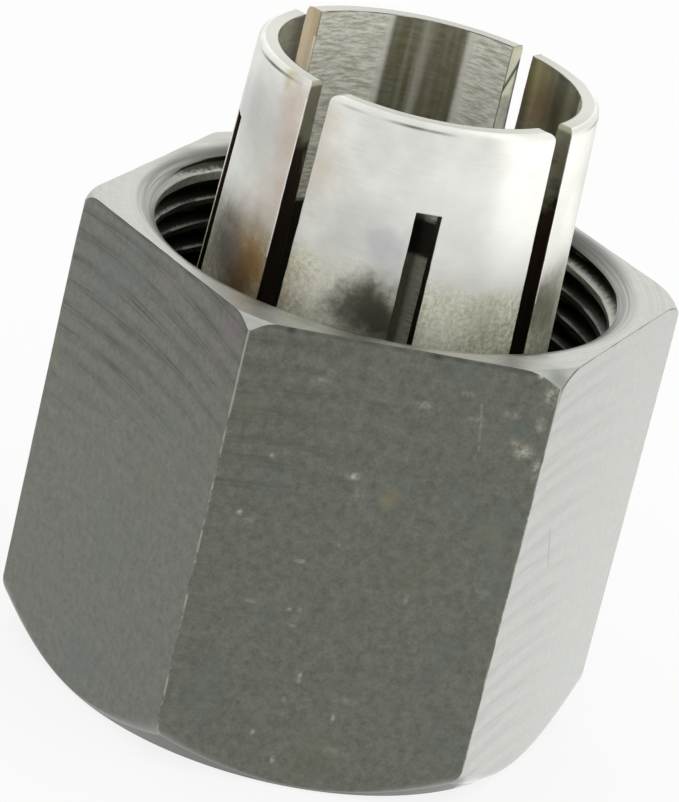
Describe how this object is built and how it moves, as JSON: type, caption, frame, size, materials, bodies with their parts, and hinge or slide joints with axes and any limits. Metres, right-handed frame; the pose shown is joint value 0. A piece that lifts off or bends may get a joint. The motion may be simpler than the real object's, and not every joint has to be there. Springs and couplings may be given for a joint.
{
  "type": "router collet",
  "caption": "Tapered, slotted spring-steel collet held by a wire ring in its threaded hexagonal nut; it closes on a round tool shank as the nut is screwed on.",
  "frame": {"origin": "centre of the closed end's face, on the collet's axis", "axes": "+Z along the collet's axis, from the closed end out of the threaded mouth; two wrench flats face -Y and +Y, two corners lie on -X and +X"},
  "size_m": [0.0256, 0.0222, 0.0281],
  "materials": {
    "black_oxide_steel": "black oxide over milled flats",
    "spring_wire": "drawn spring wire",
    "ground_spring_steel": "fine ground"
  },
  "bodies": {
    "nut": {"collet_nut": "black_oxide_steel"},
    "ring": {"retaining_ring": "spring_wire"},
    "collet": {"collet": "ground_spring_steel"}
  },
  "joints": [
    {"name": "ring_spin", "type": "hinge", "parent": "nut", "child": "ring", "pos_m": [0, 0, 0.00696], "axis": [0, 0, 1], "continuous": true},
    {"name": "collet_play", "type": "slide", "parent": "ring", "child": "collet", "axis": [0, 0, 1], "range_m": [0, 0.0008]}
  ]
}
